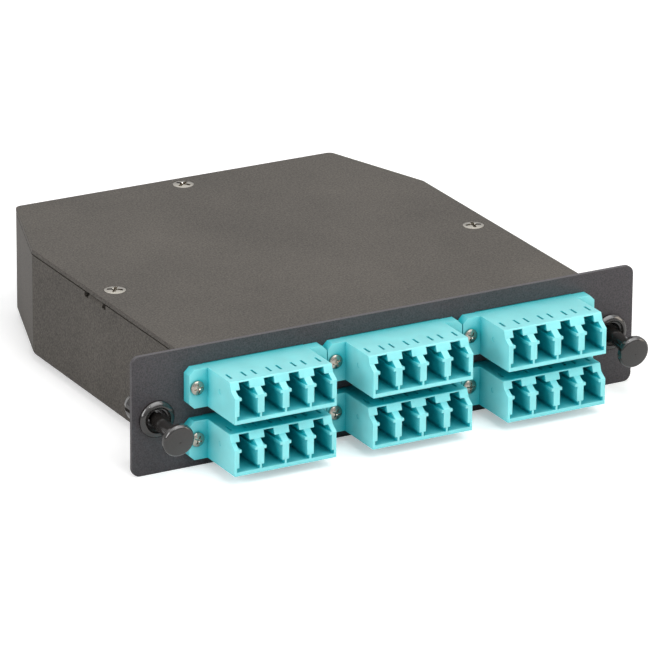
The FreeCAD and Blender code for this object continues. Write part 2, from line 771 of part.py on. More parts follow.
# ---- Inside harness ----------------------------------------------------------------------
def make_trunk_plug(x):
    """Multi-fibre plug in a rear adapter's inner port, with its sliding grip and boot."""
    z = panel_bottom + trunk_height
    nose = trunk_wall_start() - trunk_plug_nose
    rear = nose - trunk_plug_length
    half_width = trunk_plug_width / 2
    half_height = trunk_plug_height / 2
    plug = rounded_plate(x - half_width, x + half_width, z - half_height, z + half_height,
                         rear, nose, trunk_plug_corner)
    half_width = trunk_grip_width / 2
    half_height = trunk_grip_height / 2
    grip = rounded_plate(x - half_width, x + half_width, z - half_height, z + half_height,
                         rear, nose - trunk_grip_start, trunk_plug_corner)
    boot = Part.makeCone(trunk_boot_front, trunk_boot_back, trunk_boot_length, Vector(x, rear, z), Vector(0, -1, 0))
    return plug.fuse([grip, boot])


def make_bundle(x):
    """Tube that carries one trunk plug's fibres to their fan-out."""
    start = trunk_wall_start() - trunk_plug_nose - trunk_plug_length - trunk_boot_length
    return rod_y(x, panel_bottom + trunk_height, bundle_radius, fanout_rear, start)


def make_fanout(x):
    z = panel_bottom + trunk_height
    half_width = fanout_width / 2
    half_height = fanout_height / 2
    return rounded_plate(x - half_width, x + half_width, z - half_height, z + half_height,
                         fanout_rear - fanout_length, fanout_rear, fanout_corner)


def make_clip(x):
    """Cradle that stands on the floor and holds a fan-out."""
    seat = panel_bottom + trunk_height - fanout_height / 2
    top = panel_bottom + trunk_height
    foot = clip_foot_width / 2
    web = clip_web / 2
    inside = fanout_width / 2
    outside = inside + clip_wall
    right = [(foot, floor_top), (foot, floor_top + clip_wall), (web, floor_top + clip_wall),
             (web, seat - clip_wall), (outside, seat - clip_wall), (outside, top), (inside, top), (inside, seat)]
    outline = right + [(-across, z) for across, z in reversed(right)]
    start = fanout_rear - (fanout_length + clip_depth) / 2
    return prism_along_y([(x + across, z) for across, z in outline], start, start + clip_depth)


def make_fibre(start, end):
    """Fibre that leaves start and enters end along -Y, in two equal arcs."""
    across = Vector(end.x - start.x, 0, end.z - start.z)
    shift = across.Length
    across.normalize()
    run = start.y - end.y
    radius = (run ** 2 + shift ** 2) / (4 * shift)
    angle = math.degrees(math.asin(run / (2 * radius)))
    turn_axis = Vector(0, 1, 0).cross(across)
    pieces = []
    for place, side in ((start, 1), (end, -1)):
        ring = Part.Face(Part.Wire(Part.makeCircle(fibre_radius, place, Vector(0, 1, 0))))
        centre = place + across * (radius * side)
        pieces.append(ring.revolve(centre, turn_axis, -angle))
    return pieces[0].fuse(pieces[1])


def fibre_groups():
    """Fibres by adapter: each fan-out serves the six nearer ports of both rows."""
    front = fanout_rear - fanout_length
    boot_end = mating_y + holder_half_length + plug_clearance + plug_length + boot_length
    port_places = [x + port for x in columns for port in port_centres]
    groups = {}
    for row_name, z, side in zip(row_names, rows, (1, -1)):
        for index, port_x in enumerate(port_places):
            fanout, place = divmod(index, fibres_per_row)
            start_x = (fanout - 0.5) * trunk_spacing + fibre_pitch * (place - (fibres_per_row - 1) / 2)
            start_z = panel_bottom + trunk_height + side * fibre_row_gap / 2
            start = Vector(start_x, front, start_z)
            end = Vector(port_x, boot_end, z + ferrule_height)
            name = row_name + "_" + column_names[index // ports_per_adapter]
            groups.setdefault(name, []).append(make_fibre(start, end))
    return groups


# ---- Fasteners ---------------------------------------------------------------------------
def make_lid_screw(x, y):
    """Countersunk screw, flush with the lid."""
    head = Part.makeCone(lid_shank_radius, lid_head_radius, lid_head_depth, Vector(0, 0, -lid_head_depth))
    shank = Part.makeCylinder(lid_shank_radius, lid_screw_length, Vector(0, 0, -lid_screw_length))
    screw = head.fuse(shank).cut(cross_recess(lid_head_radius, recess_depth))
    screw.translate(Vector(x, y, lid_top - lid_head_drop))
    return screw


def pan_head_screw(length):
    """Small crowned screw on Z: the head's underside at z = 0, the shank below it."""
    side = small_head_height - small_crown
    rim = Vector(small_head_radius, 0, side)
    peak = Vector(0, 0, small_head_height)
    crown_radius, crown_height = dome_middle(small_head_radius, small_crown)
    lean = Vector(crown_radius, 0, side + crown_height)
    edges = [Part.makeLine(Vector(0, 0, -length), Vector(small_shank_radius, 0, -length)),
             Part.makeLine(Vector(small_shank_radius, 0, -length), Vector(small_shank_radius, 0, 0)),
             Part.makeLine(Vector(small_shank_radius, 0, 0), Vector(small_head_radius, 0, 0)),
             Part.makeLine(Vector(small_head_radius, 0, 0), rim),
             Part.Arc(rim, lean, peak).toShape(),
             Part.makeLine(peak, Vector(0, 0, -length))]
    screw = Part.Face(Part.Wire(edges)).revolve(Vector(0, 0, 0), Vector(0, 0, 1), 360)
    drive = cross_recess(small_head_radius, recess_depth)
    drive.translate(Vector(0, 0, small_head_height))
    return screw.cut(drive)


def facing_front(shape, x, y, z):
    """A piece drawn along Z, turned so that its +Z end faces the front."""
    turned = shape.copy()
    turned.rotate(Vector(0, 0, 0), Vector(1, 0, 0), 90)
    turned.translate(Vector(x, y, z))
    return turned


def facing_rear(shape, x, y, z):
    turned = shape.copy()
    turned.rotate(Vector(0, 0, 0), Vector(1, 0, 0), -90)
    turned.translate(Vector(x, y, z))
    return turned


def adapter_screws():
    screw = pan_head_screw(flange_thick + panel_sheet - small_tip_gap)
    return [facing_front(screw, x + side * ear_screw_offset, panel_front - flange_thick, z)
            for z in rows for x in columns for side in (-1, 1)]


def trunk_screw_places():
    z = panel_bottom + trunk_height
    return [(middle * trunk_spacing / 2 + side * trunk_screw_spacing / 2, z)
            for middle in (-1, 1) for side in (-1, 1)]


def trunk_screws():
    screw = pan_head_screw(trunk_flange_thick + body_sheet + nut_height + nut_screw_stick)
    return [facing_rear(screw, x, body_depth + trunk_flange_thick, z) for x, z in trunk_screw_places()]


def trunk_nuts():
    circle = nut_across_flats / math.sqrt(3)
    corners = [Vector(circle * math.cos(math.radians(60 * turn)), 0, circle * math.sin(math.radians(60 * turn)))
               for turn in range(6)]
    nut = Part.Face(Part.makePolygon(corners + corners[:1])).extrude(Vector(0, nut_height, 0))
    nut = nut.cut(rod_y(0, 0, small_shank_radius + tapped_clearance, 0, nut_height))
    start = body_depth - body_sheet - nut_height
    return [nut.translated(Vector(x, start, z)) for x, z in trunk_screw_places()]


# ---- The whole cassette ------------------------------------------------------------------
def save(name, shapes):
    solids = shapes if isinstance(shapes, list) else [shapes]
    shape = solids[0] if len(solids) == 1 else Part.makeCompound(solids)
    if not shape.isValid():
        raise ValueError("the solid of " + name + " is not valid")
    shape.exportStep("parts/" + name + ".step")


def main():
    os.makedirs("parts", exist_ok=True)
    save("front_panel", make_panel())
    save("housing", make_housing())
    save("lid", make_lid())
    adapter = make_adapter()
    adapter_back = make_adapter_back()
    holders = make_holders()
    sleeves = [make_sleeve(x) for x in port_centres]
    plugs = [make_inner_plug(x) for x in port_centres]
    for row_name, z in zip(row_names, rows):
        for column_name, x in zip(column_names, columns):
            place = row_name + "_" + column_name
            shift = Vector(x, 0, z)
            save("lc_adapter_" + place, adapter.translated(shift))
            save("adapter_back_" + place, adapter_back.translated(shift))
            save("sleeve_holders_" + place, holders.translated(shift))
            save("split_sleeves_" + place, [sleeve.translated(shift) for sleeve in sleeves])
            save("inner_plugs_" + place, [plug.translated(shift) for plug in plugs])
    grommet = make_grommet()
    plunger = make_plunger()
    for side_name, x in (("left", -latch_spacing / 2), ("right", latch_spacing / 2)):
        save("latch_grommet_" + side_name, grommet.translated(Vector(x, 0, 0)))
        save("latch_plunger_" + side_name, plunger.translated(Vector(x, 0, 0)))
    for side_name, x in (("left", -trunk_spacing / 2), ("right", trunk_spacing / 2)):
        save("trunk_adapter_" + side_name, make_trunk_adapter(x))
        save("trunk_plug_" + side_name, make_trunk_plug(x))
        save("bundle_tube_" + side_name, make_bundle(x))
        save("fanout_block_" + side_name, make_fanout(x))
        save("fanout_clip_" + side_name, make_clip(x))
    for place, fibres in fibre_groups().items():
        save("fibres_" + place, fibres)
    save("lid_screws", [make_lid_screw(x, y) for x, y in lid_screw_places()])
    save("adapter_screws", adapter_screws())
    save("trunk_screws", trunk_screws())
    save("trunk_nuts", trunk_nuts())


main()
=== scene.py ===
# %% [markdown]
# # A fibre cassette, finished and lit
#
# The solids of this cassette come from CAD: a folded steel box, its lid and front panel, six
# aqua adapters, two black latches, the screws, and the plugs and fibres inside. This lesson
# gives them their finishes, breaks their edges as paint and moulding do, makes the screws with
# Geometry Nodes, and sets up a soft white studio. Lengths are metres; `mm` keeps them readable.

# %% Load the solids
import bpy, bmesh, json, math
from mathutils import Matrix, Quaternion, Vector

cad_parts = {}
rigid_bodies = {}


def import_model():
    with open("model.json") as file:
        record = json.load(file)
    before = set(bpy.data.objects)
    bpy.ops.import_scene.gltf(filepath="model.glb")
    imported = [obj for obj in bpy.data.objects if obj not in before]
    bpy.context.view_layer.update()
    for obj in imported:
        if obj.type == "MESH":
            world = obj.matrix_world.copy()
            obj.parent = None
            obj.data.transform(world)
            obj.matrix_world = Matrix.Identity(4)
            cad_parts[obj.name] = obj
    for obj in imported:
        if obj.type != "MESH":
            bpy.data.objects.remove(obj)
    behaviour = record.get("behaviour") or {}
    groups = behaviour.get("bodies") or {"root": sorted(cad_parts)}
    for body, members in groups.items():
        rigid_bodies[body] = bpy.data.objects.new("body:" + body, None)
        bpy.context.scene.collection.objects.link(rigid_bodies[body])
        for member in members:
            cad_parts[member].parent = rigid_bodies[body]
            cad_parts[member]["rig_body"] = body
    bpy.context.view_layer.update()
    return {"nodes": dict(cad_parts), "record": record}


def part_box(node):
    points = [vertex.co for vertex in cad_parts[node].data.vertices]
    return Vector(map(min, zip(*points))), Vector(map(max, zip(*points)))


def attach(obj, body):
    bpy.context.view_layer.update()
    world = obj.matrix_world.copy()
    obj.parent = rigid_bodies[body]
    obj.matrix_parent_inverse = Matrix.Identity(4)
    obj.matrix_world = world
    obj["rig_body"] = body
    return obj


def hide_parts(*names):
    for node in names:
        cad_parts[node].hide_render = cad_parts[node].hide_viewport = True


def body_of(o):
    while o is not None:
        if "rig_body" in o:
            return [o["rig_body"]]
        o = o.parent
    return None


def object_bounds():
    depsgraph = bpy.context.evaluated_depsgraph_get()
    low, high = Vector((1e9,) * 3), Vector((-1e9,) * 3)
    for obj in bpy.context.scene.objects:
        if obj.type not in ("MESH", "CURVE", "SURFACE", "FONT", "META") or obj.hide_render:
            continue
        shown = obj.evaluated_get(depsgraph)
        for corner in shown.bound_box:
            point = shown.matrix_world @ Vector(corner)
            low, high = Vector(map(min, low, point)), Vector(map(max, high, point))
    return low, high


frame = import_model()
nodes = frame["nodes"]
mm = 0.001
frame_body = body_of(nodes["front_panel"])[0]
print("nodes:", len(nodes), "and the panel's body:", frame_body)

# %% [markdown]
# A finish and a Geometry Nodes shape are both trees of nodes that are wired socket by socket.
# Written out, that takes many lines, so one helper does it: a step is a node, its settings, and
# what goes into its sockets. Each input is a plain value or the socket of another node.

# %% One step of a node tree
def step(tree, kind, inputs, **settings):
    """Add a node, fill its inputs and give its first output."""
    made = tree.nodes.new(kind)
    for name, value in settings.items():
        setattr(made, name, value)
    for socket, value in inputs.items():
        if isinstance(value, bpy.types.NodeSocket):
            tree.links.new(value, made.inputs[socket])
        else:
            made.inputs[socket].default_value = value
    return made.outputs[0]


def sums(tree, operation, *values):
    """Maths on two or three values, as one node."""
    return step(tree, "ShaderNodeMath", dict(enumerate(values)), operation=operation)


print("helpers for trees: step, sums")

# %% [markdown]
# `shader` makes a material with a Principled BSDF, sets plain numbers on its sockets, and
# returns the tree for what varies over the surface. Patterns read Object coordinates, which are
# the real metres of the piece, so a grain of 0.3 mm stays 0.3 mm on every piece.

# %% Helpers for finishes
def shader(name, **sockets):
    """New material: its tree, its Principled BSDF and its Object coordinates."""
    made = bpy.data.materials.new(name)
    made.use_nodes = True
    tree = made.node_tree
    principled = tree.nodes["Principled BSDF"]
    for socket, value in sockets.items():
        principled.inputs[socket.replace("_", " ")].default_value = value
    place = tree.nodes.new("ShaderNodeTexCoord").outputs["Object"]
    return made, tree, principled, place


def noise(tree, place, size, detail=2.0, roughness=0.5):
    """Noise with blobs of about the given size, as its factor."""
    sockets = {"Vector": place, "Scale": 1 / size, "Detail": detail, "Roughness": roughness}
    return step(tree, "ShaderNodeTexNoise", sockets)


def ramp(tree, factor, low, high, start, end):
    """Blend from low to high as the factor goes from start to end."""
    blend = step(tree, "ShaderNodeValToRGB", {"Fac": factor})
    first, last = blend.node.color_ramp.elements
    first.position, last.position = start, end
    first.color, last.color = low, high
    return blend


def grey(value):
    return (value, value, value, 1)


def shades(colour, contrast):
    """The colour made darker and lighter by a share of itself, for the ends of a ramp."""
    return [tuple(part * share for part in colour) + (1,) for share in (1 - contrast, 1 + contrast)]


def bump(tree, principled, factor, height):
    """Bump the surface by a height in metres."""
    normal = step(tree, "ShaderNodeBump", {"Height": factor, "Distance": height})
    tree.links.new(normal, principled.inputs["Normal"])


print("helpers for finishes: shader, noise, ramp, grey, shades, bump")

# %% [markdown]
# Powder coat is plastic powder baked onto steel. It flows into a skin with a fine, close grain
# like orange peel, so it is dull and has no clear highlights. A tight noise bumps it, and the
# same noise shifts its tone a little, because the tops of the grain catch more light. A faint,
# much broader noise keeps large faces from looking even. The box and lid are a warm charcoal,
# and the panel is a cooler, slightly finer and glossier one.

# %% Powder coat
def powder_coat(name, colour, grain, relief, roughness, contrast, gloss):
    """Painted sheet: its grain shows in the bump and, with a broad cloud, in the tone."""
    cloud_size, cloud_share = 60 * grain, 0.25
    made, tree, principled, place = shader(name, Roughness=roughness, Specular_IOR_Level=gloss)
    fine = noise(tree, place, grain, detail=3.0, roughness=0.6)
    broad = noise(tree, place, cloud_size)
    mixed = sums(tree, "MULTIPLY_ADD", broad, cloud_share, fine)
    tone = ramp(tree, mixed, *shades(colour, contrast), 0.4, 0.85)
    tree.links.new(tone, principled.inputs["Base Color"])
    bump(tree, principled, fine, relief)
    return made


box_coat = powder_coat("charcoal_powder_coat", (0.0625, 0.056, 0.0485), grain=0.42 * mm,
                       relief=0.04 * mm, roughness=0.55, contrast=0.6, gloss=0.19)
panel_coat = powder_coat("panel_powder_coat", (0.036, 0.032, 0.036), grain=0.36 * mm,
                         relief=0.03 * mm, roughness=0.48, contrast=0.6, gloss=0.5)
print("powder coats:", box_coat.name, panel_coat.name)

# %% [markdown]
# The adapters are moulded in a tough nylon-like plastic. It is dyed through, so some light
# enters the wall and comes out again nearby. A touch of subsurface light gives that, and a very
# fine spark-eroded texture keeps its highlights soft. Light that goes from wall to wall inside
# a port takes on more of the colour each time, but the ports' darker, deeper look is painted
# shade: an Ambient Occlusion node finds the hollows, and a darker, deeper tone is painted into
# the colour there. The black latches are glossier, because their mould was polished.

# %% Moulded plastics
def painted_hollow_shade(tree, tone, hollow_shade, reach):
    """Paint shade into the tone: a darker, deeper one where the surface mostly faces its own walls."""
    hollows = step(tree, "ShaderNodeAmbientOcclusion", {"Distance": reach}, samples=8)
    share = ramp(tree, hollows.node.outputs["AO"], grey(0.0), grey(1.0), 0.4, 0.92)
    mixed = step(tree, "ShaderNodeMix", {"Factor": share, "A": hollow_shade, "B": tone}, data_type="RGBA")
    return mixed.node.outputs["Result"]


def moulded(name, colour, roughness, grain, relief, glow=0.0, contrast=0.06, gloss=0.5, hollow_shade=None):
    """Dyed plastic with a faint cloud in its tone and, if asked for, painted shade in hollows."""
    glow_depth, cloud_size, hollow_reach = 1.2 * mm, 6 * mm, 6 * mm
    made, tree, principled, place = shader(name, Roughness=roughness, Specular_IOR_Level=gloss,
                                           Subsurface_Weight=glow, Subsurface_Scale=glow_depth)
    principled.inputs["Subsurface Radius"].default_value = [part / max(colour) for part in colour]
    tone = ramp(tree, noise(tree, place, cloud_size), *shades(colour, contrast), 0.3, 0.7)
    # Painted shade: a darker, deeper tone is blended in where the hollows are.
    if hollow_shade:
        tone = painted_hollow_shade(tree, tone, hollow_shade + (1,), hollow_reach)
    tree.links.new(tone, principled.inputs["Base Color"])
    bump(tree, principled, noise(tree, place, grain), relief)
    return made


# The last colour given to the aqua is its painted shade, a dark teal for the ports and hollows.
aqua = moulded("aqua_adapter_plastic", (0.24, 0.685, 0.715), roughness=0.38, grain=0.12 * mm,
               relief=0.004 * mm, glow=0.3, hollow_shade=(0.003, 0.42, 0.48))
black_nylon = moulded("black_latch_nylon", (0.014, 0.0125, 0.0115), roughness=0.14, grain=0.4 * mm,
                      relief=0.003 * mm, gloss=0.75)
black_plastic = moulded("black_adapter_plastic", (0.018, 0.018, 0.02), roughness=0.42,
                        grain=0.15 * mm, relief=0.004 * mm)
pale_plastic = moulded("pale_plug_plastic", (0.6, 0.55, 0.42), roughness=0.4, grain=0.15 * mm,
                       relief=0.004 * mm, glow=0.1)
fibre_jacket = moulded("aqua_fibre_jacket", (0.06, 0.5, 0.54), roughness=0.5, grain=0.2 * mm,
                       relief=0.004 * mm)
ceramic = moulded("white_sleeve_ceramic", (0.86, 0.85, 0.8), roughness=0.15, grain=0.3 * mm,
                  relief=0.001 * mm, glow=0.1, contrast=0.02)
moulded_finishes = (aqua, black_nylon, black_plastic, pale_plastic, fibre_jacket, ceramic)
print("moulded finishes:", [finish.name for finish in moulded_finishes])

# %% [markdown]
# Screws are steel with a thin bright plating. Metal has no colour of its own apart from its
# reflections, so what matters is how rough it is: tumbling in a barrel leaves fine scratches
# and small dull spots, which a stretched noise in the roughness shows.

# %% Plated metal
def plated(name, colour, dull, bright, grain, relief):
    """Metal whose roughness goes from bright to dull along marks three times as long as wide."""
    made, tree, principled, place = shader(name, Metallic=1.0, Base_Color=colour + (1,))
    stretched = step(tree, "ShaderNodeMapping", {"Vector": place, "Scale": (1, 3, 1)})
    marks = noise(tree, stretched, grain, detail=4.0, roughness=0.6)
    roughness = ramp(tree, marks, grey(bright), grey(dull), 0.35, 0.7)
    tree.links.new(roughness, principled.inputs["Roughness"])
    bump(tree, principled, marks, relief)
    return made


nickel = plated("bright_nickel", (0.4, 0.375, 0.33), dull=0.18, bright=0.06, grain=0.3 * mm,
                relief=0.03 * mm)
zinc = plated("zinc_plating", (0.62, 0.63, 0.65), dull=0.5, bright=0.3, grain=0.3 * mm,
              relief=0.006 * mm)
print("metals:", nickel.name, zinc.name)

# %% [markdown]
# The record gives each solid a material slot. One table from slot to finish dresses them all,
# so no piece keeps the flat colour it came with.

# %% Dress the solids
finishes = {
    "housing_paint": box_coat, "panel_paint": panel_coat, "aqua_plastic": aqua,
    "white_ceramic": ceramic, "pale_plastic": pale_plastic, "fibre_jacket": fibre_jacket,
    "black_nylon": black_nylon, "black_plastic": black_plastic, "nickel": nickel, "zinc": zinc,
}
slots = {part["node"]: part["material_slot"] for part in frame["record"]["subparts"]}
for name, node in nodes.items():
    node.data.materials.clear()
    node.data.materials.append(finishes[slots[name]])
print("dressed:", len(nodes))

# %% [markdown]
# No real edge is perfectly sharp. Paint rounds a sheared edge and a mould leaves a small
# radius, and that thin curve is what catches the light. Here each large piece gets a softened
# copy: its loose triangles are merged, flat areas are joined back into whole faces, and a
# narrow bevel rounds the edges that turn by more than 30 degrees.

# %% Soften the edges of sheet and mouldings
same_point = 0.001 * mm


def softened(name, width):
    """Copy of a solid with its sharp edges rounded; it stands for the solid."""
    flat_within, sharp_from = math.radians(0.5), math.radians(30)
    node = nodes[name]
    mesh = bpy.data.meshes.new(name + "_soft")
    work = bmesh.new()
    work.from_mesh(node.data)
    bmesh.ops.remove_doubles(work, verts=work.verts, dist=same_point)
    bmesh.ops.dissolve_limit(work, angle_limit=flat_within, verts=work.verts, edges=work.edges)
    work.to_mesh(mesh)
    work.free()
    piece = bpy.data.objects.new(name + "_soft", mesh)
    bpy.context.scene.collection.objects.link(piece)
    mesh.materials.append(finishes[slots[name]])
    bevel = piece.modifiers.new("edge", "BEVEL")
    bevel.width = width
    bevel.segments = 2
    bevel.limit_method = "ANGLE"
    bevel.angle_limit = sharp_from
    bevel.use_clamp_overlap = True
    mesh.polygons.foreach_set("use_smooth", [True] * len(mesh.polygons))
    keep = piece.modifiers.new("flats", "WEIGHTED_NORMAL")
    keep.keep_sharp = True
    body = body_of(node)[0]
    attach(piece, body)
    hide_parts(name)
    return piece


adapter_edge = 0.18 * mm
edge_widths = {"front_panel": 0.18 * mm, "lid": 0.1 * mm, "housing": 0.12 * mm}
edge_widths.update({name: adapter_edge for name in nodes if name.startswith("lc_adapter")})
soft_pieces = [softened(name, width) for name, width in edge_widths.items()]
print("softened:", [piece.name for piece in soft_pieces])

# %% [markdown]
# Nineteen screws hold this cassette together, and one Geometry Nodes tree makes them all. The
# object it works on is only a handful of points that say where the screws go. `grown` runs the
# tree on such points and keeps what comes out as a plain mesh, so no modifier is left on it.

# %% Helpers for Geometry Nodes
def new_tree(name, numbers):
    """Tree with inputs for its places, its sizes, a facing, a seed and a finish."""
    tree = bpy.data.node_groups.new(name, "GeometryNodeTree")
    tree.is_modifier = True
    kinds = {"Places": "NodeSocketGeometry", **dict.fromkeys(numbers, "NodeSocketFloat"),
             "Facing": "NodeSocketRotation", "Seed": "NodeSocketInt", "Finish": "NodeSocketMaterial"}
    for label, kind in kinds.items():
        tree.interface.new_socket(label, in_out="INPUT", socket_type=kind)
    tree.interface.new_socket("Result", in_out="OUTPUT", socket_type="NodeSocketGeometry")
    return tree, tree.nodes.new("NodeGroupInput").outputs, tree.nodes.new("NodeGroupOutput").inputs


def spot(tree, x=0.0, y=0.0, z=0.0):
    """Point or size from three numbers."""
    return step(tree, "ShaderNodeCombineXYZ", {0: x, 1: y, 2: z})


def joined(tree, parts):
    """Several shapes as one."""
    made = tree.nodes.new("GeometryNodeJoinGeometry")
    for part in parts:
        tree.links.new(part, made.inputs[0])
    return made.outputs[0]


def grown(name, tree, places, body, values):
    """Run a tree on points, keep its result as a plain mesh, and let it ride on its body."""
    crease_from = math.radians(28)
    seeds = bpy.data.meshes.new(name + "_places")
    seeds.from_pydata(places, [], [])
    carrier = bpy.data.objects.new(name + "_places", seeds)
    bpy.context.scene.collection.objects.link(carrier)
    modifier = carrier.modifiers.new("tree", "NODES")
    modifier.node_group = tree
    for item in tree.interface.items_tree:
        if item.in_out == "INPUT" and item.name in values:
            modifier[item.identifier] = values[item.name]
    ready = carrier.evaluated_get(bpy.context.evaluated_depsgraph_get())
    mesh = bpy.data.meshes.new_from_object(ready)
    mesh.name = name
    bpy.data.objects.remove(carrier)
    mesh.materials.clear()
    mesh.materials.append(values["Finish"])
    mesh.polygons.foreach_set("material_index", [0] * len(mesh.polygons))
    mesh.polygons.foreach_set("use_smooth", [True] * len(mesh.polygons))
    mesh.set_sharp_from_angle(angle=crease_from)
    piece = bpy.data.objects.new(name, mesh)
    bpy.context.scene.collection.objects.link(piece)
    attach(piece, body)
    return piece


print("helpers for shapes: new_tree, spot, joined, grown")

# %% [markdown]
# A screw is a turned part, so its head is a profile swept round a circle, which Curve to Mesh
# does when its path is a circle of almost no radius. The profile goes from the tip, up the
# shank, out along the head's underside, which is a cone on a countersunk screw, and over the
# crown. The crown is an arc through three points, and a shallow one has about three quarters
# of its rise halfway out.

# %% Outline of a screw
screw_sizes = ("Head Radius", "Head Height", "Crown", "Sink", "Shank Radius", "Length",
               "Recess Reach", "Recess Width", "Recess Depth")


def screw_profile(tree, size):
    """Half outline of a screw; the lathe turns its Y downwards, so heights are negative."""
    rise_halfway, crown_points = 0.745, 10
    minus = lambda value: sums(tree, "MULTIPLY", value, -1.0)
    side = sums(tree, "SUBTRACT", size["Head Height"], size["Crown"])
    mid_height = sums(tree, "ADD", side, sums(tree, "MULTIPLY", size["Crown"], rise_halfway))
    corners = [spot(tree, 0.0, size["Length"]), spot(tree, size["Shank Radius"], size["Length"]),
               spot(tree, size["Shank Radius"], size["Sink"]), spot(tree, size["Head Radius"], 0.0),
               spot(tree, size["Head Radius"], minus(side))]
    lines = [step(tree, "GeometryNodeCurvePrimitiveLine", {"Start": one, "End": two})
             for one, two in zip(corners, corners[1:])]
    halfway = spot(tree, sums(tree, "MULTIPLY", size["Head Radius"], 0.5), minus(mid_height))
    top = spot(tree, 0.0, minus(size["Head Height"]))
    crown = step(tree, "GeometryNodeCurveArc",
                 {"Resolution": crown_points, "Start": corners[-1], "Middle": halfway, "End": top},
                 mode="POINTS")
    return joined(tree, lines + [crown])


print("sizes of a screw:", ", ".join(screw_sizes))

# %% [markdown]
# The cross is cut by two flat bars and a pyramid that stands on its tip, as the point of a
# driver does. Each of the three is closed and cuts by itself, because the exact solver gives a
# watertight head only when no cutter is open or crosses itself.

# %% Cross recess
def cross_recess(tree, size):
    """Two bars and a pyramid at the top of the head, each closed by itself."""
    point_width, point_length, point_depth = 0.75, 1.6, 1.3
    width, depth = size["Recess Width"], sums(tree, "MULTIPLY", size["Recess Depth"], 2.0)
    across = sums(tree, "MULTIPLY", size["Recess Reach"], 2.0)
    bars = [step(tree, "GeometryNodeMeshCube", {"Size": spot(tree, *order, depth)})
            for order in ((across, width), (width, across))]
    point = step(tree, "GeometryNodeMeshCone",
                 {"Vertices": 4, "Radius Top": sums(tree, "MULTIPLY", size["Recess Reach"], point_width),
                  "Radius Bottom": 0.0,
                  "Depth": sums(tree, "MULTIPLY", size["Recess Depth"], point_length)})
    tip = spot(tree, 0.0, 0.0, sums(tree, "MULTIPLY", size["Recess Depth"], -point_depth))
    point = step(tree, "GeometryNodeTransform", {"Geometry": point, "Translation": tip})
    top = spot(tree, 0.0, 0.0, size["Head Height"])
    return [step(tree, "GeometryNodeTransform", {"Geometry": part, "Translation": top})
            for part in bars + [point]]


print("cutters for the cross: two bars and a pyramid")

# %% [markdown]
# The tree puts the two together. The swept outline leaves many points on the axis, which are
# merged, and its faces point inwards, so they are flipped. The turned head is cut once, then
# set on every point with its facing. Each screw gets a random turn of up to a quarter, because
# no screwdriver stops twice at the same angle, and a seed keeps those turns the same in every
# run.

# %% A tree that makes screws
sides, path_radius, merge_within = 48, 0.0001 * mm, 0.002 * mm
screw_tree, size, result = new_tree("screws", screw_sizes)
thin_circle = {"Resolution": sides, "Radius": path_radius}
path = step(screw_tree, "GeometryNodeCurvePrimitiveCircle", thin_circle, mode="RADIUS")
turned = step(screw_tree, "GeometryNodeCurveToMesh",
              {"Curve": path, "Profile Curve": screw_profile(screw_tree, size)})
turned = step(screw_tree, "GeometryNodeMergeByDistance", {"Geometry": turned, "Distance": merge_within})
turned = step(screw_tree, "GeometryNodeFlipFaces", {"Mesh": turned})
screw = step(screw_tree, "GeometryNodeMeshBoolean", {0: turned}, operation="DIFFERENCE", solver="EXACT")
for cutter in cross_recess(screw_tree, size):
    screw_tree.links.new(cutter, screw.node.inputs[1])
placed = step(screw_tree, "GeometryNodeInstanceOnPoints",
              {"Points": size["Places"], "Instance": screw, "Rotation": size["Facing"]})
# For plain numbers, this node's largest value is input 3 and what it draws is output 1.
twist = step(screw_tree, "FunctionNodeRandomValue", {3: math.pi / 2, "Seed": size["Seed"]})
twist = twist.node.outputs[1]
placed = step(screw_tree, "GeometryNodeRotateInstances",
              {"Instances": placed, "Rotation": spot(screw_tree, 0.0, 0.0, twist)})
real = step(screw_tree, "GeometryNodeRealizeInstances", {0: placed})
dressed = step(screw_tree, "GeometryNodeSetMaterial", {"Geometry": real, "Material": size["Finish"]})
screw_tree.links.new(dressed, result[0])
print("screw tree:", len(screw_tree.nodes), "nodes")

# %% [markdown]
# Where the screws sit is read from the solids. A set of screws is one node in the CAD, so
# `islands` merges its triangles, follows the edges from point to point, and gives the box of
# each screw by itself. The middle of that box says where the screw's axis is.

# %% Find the screws
def islands(name):
    """Lower and upper corner of each separate solid in a node."""
    work = bmesh.new()
    work.from_mesh(nodes[name].data)
    bmesh.ops.remove_doubles(work, verts=work.verts, dist=same_point)
    left = set(work.verts)
    found = []
    while left:
        stack = [left.pop()]
        group = list(stack)
        while stack:
            for edge in stack.pop().link_edges:
                for vert in edge.verts:
                    if vert in left:
                        left.remove(vert)
                        stack.append(vert)
                        group.append(vert)
        lows = [min(vert.co[axis] for vert in group) for axis in range(3)]
        highs = [max(vert.co[axis] for vert in group) for axis in range(3)]
        found.append((Vector(lows), Vector(highs)))
    work.free()
    return sorted(found, key=lambda pair: tuple(pair[0]))


def middle(pair, axis):
    """Middle of a pair of corners along one axis."""
    return (pair[0][axis] + pair[1][axis]) / 2


screw_boxes = {name: islands(name) for name in ("adapter_screws", "lid_screws", "trunk_screws")}
print("screws found:", {name: len(boxes) for name, boxes in screw_boxes.items()})

# %% [markdown]
# The sizes are millimetres. The small screws have a pan head that sits on the flange of an
# adapter, in front or at the rear. The lid screws are countersunk: the rim of the head lies
# just under the lid's face, and its low crown rises about a tenth of a millimetre over it.

# %% Place the screws
ear_screw = {"Head Radius": 1.65, "Head Height": 1.0, "Crown": 0.45, "Sink": 0.0, "Shank Radius": 0.95,
             "Length": 3.6, "Recess Reach": 1.05, "Recess Width": 0.34, "Recess Depth": 0.5}
rear_screw = {**ear_screw, "Length": 5.0}
lid_screw = {"Head Radius": 2.52, "Head Height": 0.26, "Crown": 0.22, "Sink": 0.85, "Shank Radius": 1.4,
             "Length": 4.9, "Recess Reach": 1.85, "Recess Width": 0.8, "Recess Depth": 0.8}
to_the_front, upwards, to_the_rear = (math.pi / 2, 0, 0), (0, 0, 0), (-math.pi / 2, 0, 0)
flange_thickness, lid_seat_depth = 2.7 * mm, 0.13 * mm


